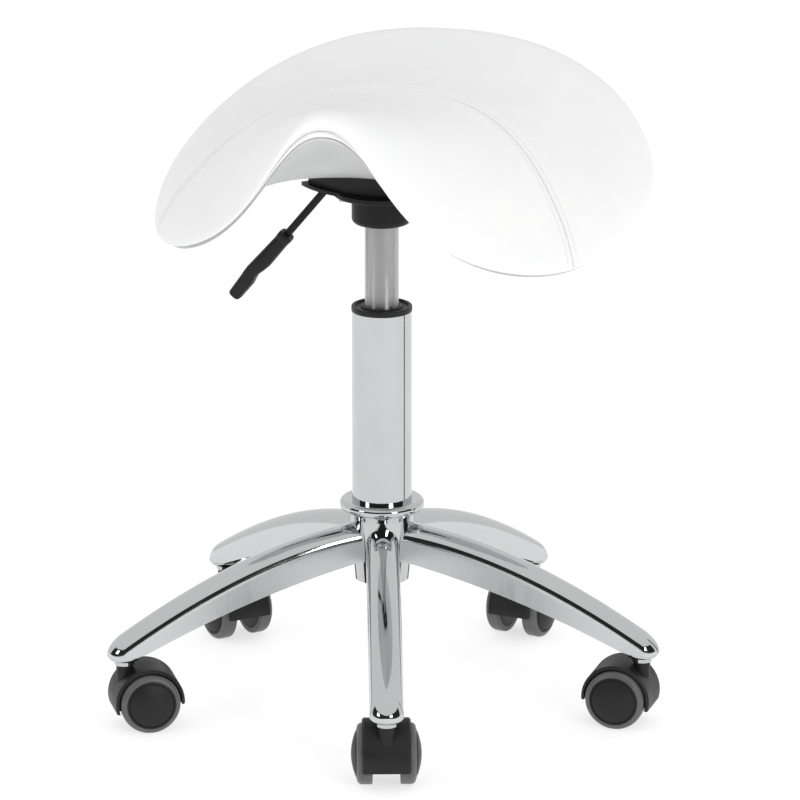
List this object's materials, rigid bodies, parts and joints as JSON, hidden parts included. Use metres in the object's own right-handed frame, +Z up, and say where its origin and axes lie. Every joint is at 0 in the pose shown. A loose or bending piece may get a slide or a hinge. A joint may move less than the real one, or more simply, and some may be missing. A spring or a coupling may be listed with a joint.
{
  "type": "saddle stool",
  "caption": "Height-adjustable saddle stool: padded saddle seat on a gas lift with a side lever, and a chromed star base on swivelling twin-wheel casters.",
  "frame": {"origin": "on the floor, on the axis of the column", "axes": "+Z up along the column; leg 1 points along -Y; the seat's narrow front faces -Y, turned 18.6 degrees clockwise seen from above"},
  "size_m": [0.4587, 0.4602, 0.5411],
  "materials": {
    "chrome": "polished",
    "zinc_steel": "satin",
    "black_steel": "satin black paint",
    "black_plastic": "fine matt grain",
    "nylon": "matt",
    "grey_tread": "satin",
    "white_vinyl": "smooth coated vinyl, satin",
    "white_shell": "satin moulded",
    "white_cover": "smooth matt"
  },
  "bodies": {
    "base": {"hub": "chrome", "leg_1": "chrome", "leg_2": "chrome", "leg_3": "chrome", "leg_4": "chrome", "leg_5": "chrome", "caster_sockets": "chrome", "caster_stems": "zinc_steel", "grip_rings": "zinc_steel", "outer_column": "chrome", "column_cap": "black_plastic", "guide_bush": "nylon", "thrust_washer": "zinc_steel"},
    "rod_turn": {"piston_rod": "chrome", "rod_clip": "zinc_steel", "piston": "nylon", "thrust_bearing": "zinc_steel"},
    "seat_lift": {"gas_cylinder": "chrome", "rod_gland": "nylon", "seat_bracket": "black_steel", "lever_pin": "zinc_steel", "bracket_bolts": "zinc_steel", "pan_standoffs": "zinc_steel", "seat_pan": "white_shell", "under_cover": "white_cover", "seat_cushion": "white_vinyl"},
    "lever": {"lever_rod": "black_steel", "lever_grip": "black_plastic"},
    "valve": {"valve_pin": "zinc_steel"},
    "caster_1": {"hood_1": "black_plastic", "axle_1": "zinc_steel"},
    "wheel_left_1": {"core_left_1": "black_plastic", "tyre_left_1": "grey_tread"},
    "wheel_right_1": {"core_right_1": "black_plastic", "tyre_right_1": "grey_tread"},
    "caster_2": {"hood_2": "black_plastic", "axle_2": "zinc_steel"},
    "wheel_left_2": {"core_left_2": "black_plastic", "tyre_left_2": "grey_tread"},
    "wheel_right_2": {"core_right_2": "black_plastic", "tyre_right_2": "grey_tread"},
    "caster_3": {"hood_3": "black_plastic", "axle_3": "zinc_steel"},
    "wheel_left_3": {"core_left_3": "black_plastic", "tyre_left_3": "grey_tread"},
    "wheel_right_3": {"core_right_3": "black_plastic", "tyre_right_3": "grey_tread"},
    "caster_4": {"hood_4": "black_plastic", "axle_4": "zinc_steel"},
    "wheel_left_4": {"core_left_4": "black_plastic", "tyre_left_4": "grey_tread"},
    "wheel_right_4": {"core_right_4": "black_plastic", "tyre_right_4": "grey_tread"},
    "caster_5": {"hood_5": "black_plastic", "axle_5": "zinc_steel"},
    "wheel_left_5": {"core_left_5": "black_plastic", "tyre_left_5": "grey_tread"},
    "wheel_right_5": {"core_right_5": "black_plastic", "tyre_right_5": "grey_tread"}
  },
  "joints": [
    {"name": "seat_turn", "type": "hinge", "parent": "base", "child": "rod_turn", "pos_m": [0, 0, 0.113], "axis": [0, 0, 1], "continuous": true},
    {"name": "gas_lift", "type": "slide", "parent": "rod_turn", "child": "seat_lift", "axis": [0, 0, 1], "range_m": [-0.062, 0.07]},
    {"name": "lever_lift", "type": "hinge", "parent": "seat_lift", "child": "lever", "pos_m": [-0.02654, 0.00893, 0.4525], "axis": [0.319, 0.9478, 0], "range_deg": [0, 6.5], "stiffness_Nm_per_rad": 6, "springref_deg": -2.86},
    {"name": "valve_press", "type": "slide", "parent": "seat_lift", "child": "valve", "axis": [0, 0, -1], "range_m": [0, 0.0035]},
    {"name": "caster_swivel_1", "type": "hinge", "parent": "base", "child": "caster_1", "pos_m": [0, -0.225, 0.04], "axis": [0, 0, 1], "continuous": true},
    {"name": "wheel_roll_left_1", "type": "hinge", "parent": "caster_1", "child": "wheel_left_1", "pos_m": [0, -0.207, 0.025], "axis": [-1, 0, 0], "continuous": true},
    {"name": "wheel_roll_right_1", "type": "hinge", "parent": "caster_1", "child": "wheel_right_1", "pos_m": [0, -0.207, 0.025], "axis": [-1, 0, 0], "continuous": true},
    {"name": "caster_swivel_2", "type": "hinge", "parent": "base", "child": "caster_2", "pos_m": [0.21399, -0.06953, 0.04], "axis": [0, 0, 1], "continuous": true},
    {"name": "wheel_roll_left_2", "type": "hinge", "parent": "caster_2", "child": "wheel_left_2", "pos_m": [0.19687, -0.06397, 0.025], "axis": [-0.309, -0.9511, 0], "continuous": true},
    {"name": "wheel_roll_right_2", "type": "hinge", "parent": "caster_2", "child": "wheel_right_2", "pos_m": [0.19687, -0.06397, 0.025], "axis": [-0.309, -0.9511, 0], "continuous": true},
    {"name": "caster_swivel_3", "type": "hinge", "parent": "base", "child": "caster_3", "pos_m": [0.13225, 0.18203, 0.04], "axis": [0, 0, 1], "continuous": true},
    {"name": "wheel_roll_left_3", "type": "hinge", "parent": "caster_3", "child": "wheel_left_3", "pos_m": [0.1238, 0.16614, 0.025], "axis": [0.8829, -0.4695, 0], "continuous": true},
    {"name": "wheel_roll_right_3", "type": "hinge", "parent": "caster_3", "child": "wheel_right_3", "pos_m": [0.1238, 0.16614, 0.025], "axis": [0.8829, -0.4695, 0], "continuous": true},
    {"name": "caster_swivel_4", "type": "hinge", "parent": "base", "child": "caster_4", "pos_m": [-0.13225, 0.18203, 0.04], "axis": [0, 0, 1], "continuous": true},
    {"name": "wheel_roll_left_4", "type": "hinge", "parent": "caster_4", "child": "wheel_left_4", "pos_m": [-0.1238, 0.16614, 0.025], "axis": [0.8829, 0.4695, 0], "continuous": true},
    {"name": "wheel_roll_right_4", "type": "hinge", "parent": "caster_4", "child": "wheel_right_4", "pos_m": [-0.1238, 0.16614, 0.025], "axis": [0.8829, 0.4695, 0], "continuous": true},
    {"name": "caster_swivel_5", "type": "hinge", "parent": "base", "child": "caster_5", "pos_m": [-0.21399, -0.06953, 0.04], "axis": [0, 0, 1], "continuous": true},
    {"name": "wheel_roll_left_5", "type": "hinge", "parent": "caster_5", "child": "wheel_left_5", "pos_m": [-0.19638, -0.06579, 0.025], "axis": [-0.2079, 0.9781, 0], "continuous": true},
    {"name": "wheel_roll_right_5", "type": "hinge", "parent": "caster_5", "child": "wheel_right_5", "pos_m": [-0.19638, -0.06579, 0.025], "axis": [-0.2079, 0.9781, 0], "continuous": true}
  ],
  "couplings": [
    {"joint": "valve_press", "follows": "lever_lift", "m_per_rad": 0.03}
  ]
}
